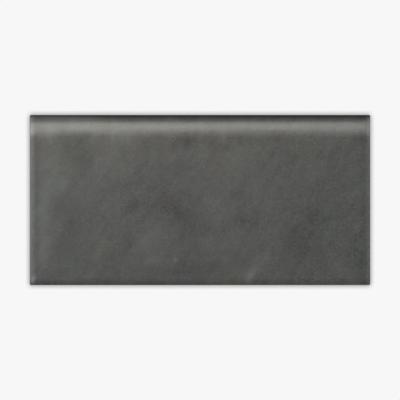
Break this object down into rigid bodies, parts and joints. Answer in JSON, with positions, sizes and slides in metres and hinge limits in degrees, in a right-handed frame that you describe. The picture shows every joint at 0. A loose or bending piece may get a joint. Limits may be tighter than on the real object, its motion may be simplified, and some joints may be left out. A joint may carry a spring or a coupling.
{
  "type": "bullnose tile",
  "caption": "Rectangular glazed ceramic wall tile with one long edge rounded over into a bullnose, for finishing an exposed edge of tiling.",
  "frame": {"origin": "middle of the flat back, halfway along the length and halfway across the width", "axes": "+X along the length, +Y across the width towards the bullnosed long edge, +Z out of the glazed face"},
  "size_m": [0.15, 0.075, 0.008],
  "materials": {
    "glazed_ceramic": "satin charcoal glaze over a fired clay body"
  },
  "bodies": {
    "root": {"bullnose_tile": "glazed_ceramic"}
  },
  "joints": []
}
